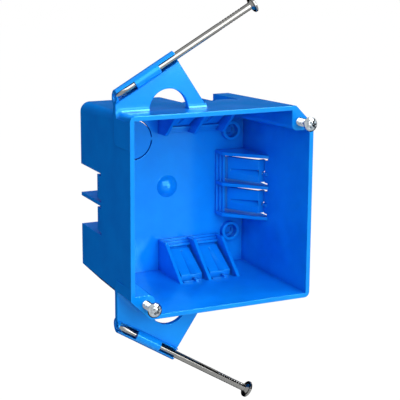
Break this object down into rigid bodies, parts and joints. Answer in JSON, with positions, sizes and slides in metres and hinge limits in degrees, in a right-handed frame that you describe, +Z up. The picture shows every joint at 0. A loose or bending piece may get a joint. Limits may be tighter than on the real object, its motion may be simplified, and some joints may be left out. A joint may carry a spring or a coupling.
{
  "type": "square nail-on electrical box",
  "caption": "Square moulded outlet box with nail ears, captive nails, cover screws and built-in cable clamps.",
  "frame": {"origin": "centre of the cover opening, in the plane of the rim", "axes": "+X from the stud side across the box, +Y from the rim into the box, +Z up along the stud"},
  "size_m": [0.1016, 0.0824, 0.2104],
  "materials": {
    "moulding": "smooth moulded blue thermoplastic",
    "nail_steel": "bright drawn steel",
    "screw_steel": "zinc plated"
  },
  "bodies": {
    "box": {"box_body": "moulding"},
    "upper_nail_body": {"upper_nail": "nail_steel"},
    "lower_nail_body": {"lower_nail": "nail_steel"},
    "upper_screw_body": {"upper_right_screw": "screw_steel"},
    "lower_screw_body": {"lower_left_screw": "screw_steel"}
  },
  "joints": [
    {"name": "upper_nail_drive", "type": "slide", "parent": "box", "child": "upper_nail_body", "axis": [-0.8512, 0.0872, -0.5175], "range_m": [0, 0.0433]},
    {"name": "lower_nail_drive", "type": "slide", "parent": "box", "child": "lower_nail_body", "axis": [-0.8512, 0.0872, 0.5175], "range_m": [0, 0.0433]},
    {"name": "upper_screw_travel", "type": "slide", "parent": "box", "child": "upper_screw_body", "axis": [0, 1, 0], "range_m": [-0.012, 0.0097]},
    {"name": "lower_screw_travel", "type": "slide", "parent": "box", "child": "lower_screw_body", "axis": [0, 1, 0], "range_m": [-0.012, 0.0097]}
  ]
}
